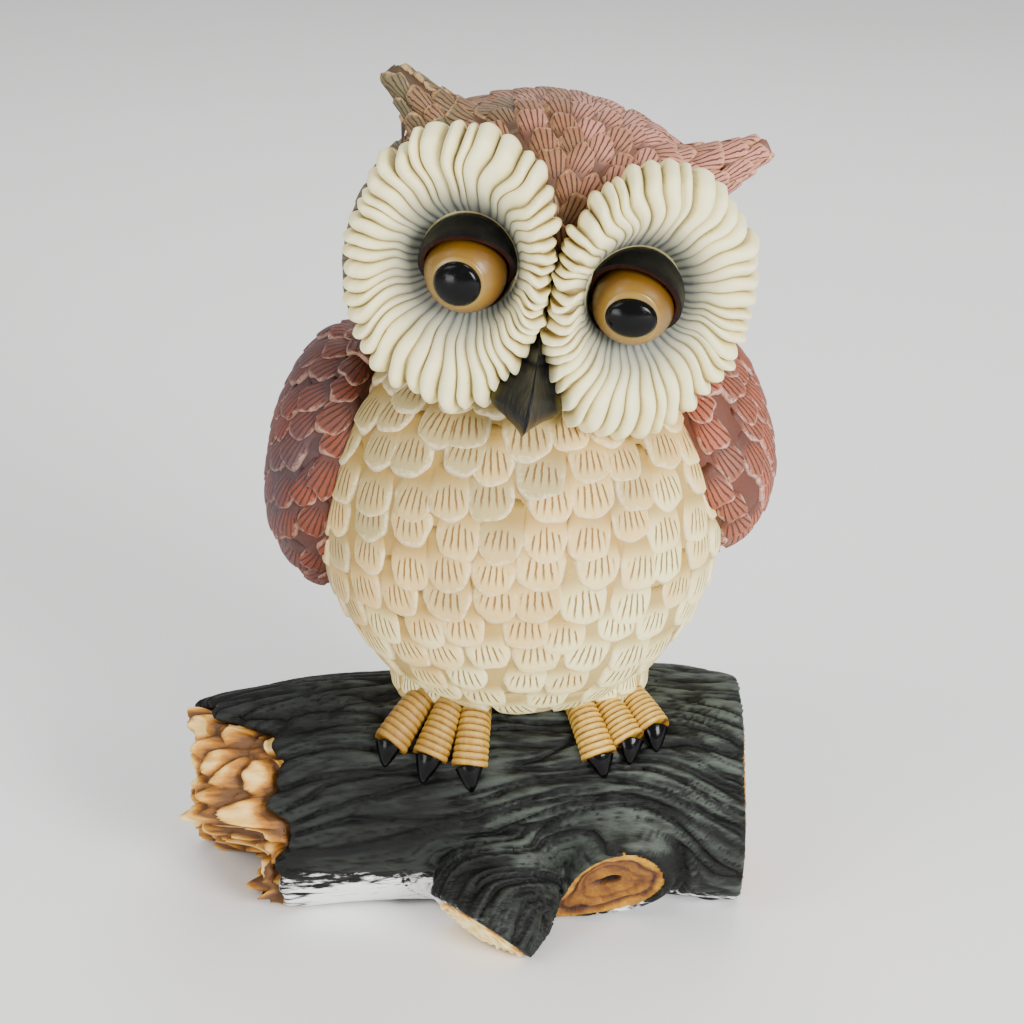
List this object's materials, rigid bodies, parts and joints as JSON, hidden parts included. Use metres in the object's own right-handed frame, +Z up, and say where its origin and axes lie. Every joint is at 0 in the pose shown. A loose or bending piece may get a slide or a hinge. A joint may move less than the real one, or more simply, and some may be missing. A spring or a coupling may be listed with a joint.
{
  "type": "owl figurine on a log",
  "caption": "Round-bodied owl figurine with large ruffled face discs and a tilted head, perched with its toes over a hollow log that rests flat on felt pads.",
  "frame": {"origin": "centre of the bounding box footprint, on the plane the felt pads rest on", "axes": "+Z up; the owl looks along -Y; +X runs along the log from its splintered end to its sawn end"},
  "size_m": [0.2416, 0.1706, 0.349],
  "materials": {
    "bark_paint": "cast resin painted charcoal black, grey-green and white dry-brush on the bark ridges",
    "splinter_paint": "cast resin painted as raw broken wood, tan with orange-brown washes",
    "cut_wood_paint": "cast resin painted as sawn wood, warm orange-tan",
    "bare_resin": "unpainted cast resin",
    "felt": "black self-adhesive felt",
    "cream_feather_paint": "cast resin painted cream, brown lines in the engraving and pale feather rims",
    "brown_feather_paint": "cast resin painted reddish and greyish brown, dark engraving and tan feather rims",
    "face_paint": "cast resin painted ivory, grey airbrushed round the eyes",
    "iris_paint": "amber paint under satin varnish",
    "pupil_gloss": "gloss black enamel",
    "lid_paint": "satin black paint",
    "beak_paint": "satin black paint, olive wash along the gape",
    "toe_paint": "cast resin painted yellow-beige with brown between the scales",
    "talon_gloss": "gloss black enamel",
    "steel": "bare steel rod"
  },
  "bodies": {
    "root": {"log_shell": "bark_paint", "splintered_core": "splinter_paint", "knot_wood": "cut_wood_paint", "branch_cut_face": "cut_wood_paint", "base_plate": "bare_resin", "felt_pad_front_left": "felt", "felt_pad_back_left": "felt", "felt_pad_front_right": "felt", "felt_pad_back_right": "felt", "breast_shell": "cream_feather_paint", "back_shell": "brown_feather_paint", "neck_dowel": "bare_resin", "tail": "brown_feather_paint", "wing_left": "brown_feather_paint", "wing_right": "brown_feather_paint", "toe_left_outer": "toe_paint", "talon_left_outer": "talon_gloss", "toe_left_middle": "toe_paint", "talon_left_middle": "talon_gloss", "toe_left_inner": "toe_paint", "talon_left_inner": "talon_gloss", "toe_right_inner": "toe_paint", "talon_right_inner": "talon_gloss", "toe_right_middle": "toe_paint", "talon_right_middle": "talon_gloss", "toe_right_outer": "toe_paint", "talon_right_outer": "talon_gloss", "thigh_left": "cream_feather_paint", "leg_pin_left": "steel", "thigh_right": "cream_feather_paint", "leg_pin_right": "steel", "head_shell": "brown_feather_paint", "beak": "beak_paint", "face_disc_left": "face_paint", "eyeball_left": "iris_paint", "pupil_left": "pupil_gloss", "eyelid_left": "lid_paint", "ear_tuft_left": "brown_feather_paint", "face_disc_right": "face_paint", "eyeball_right": "iris_paint", "pupil_right": "pupil_gloss", "eyelid_right": "lid_paint", "ear_tuft_right": "brown_feather_paint"}
  },
  "joints": []
}
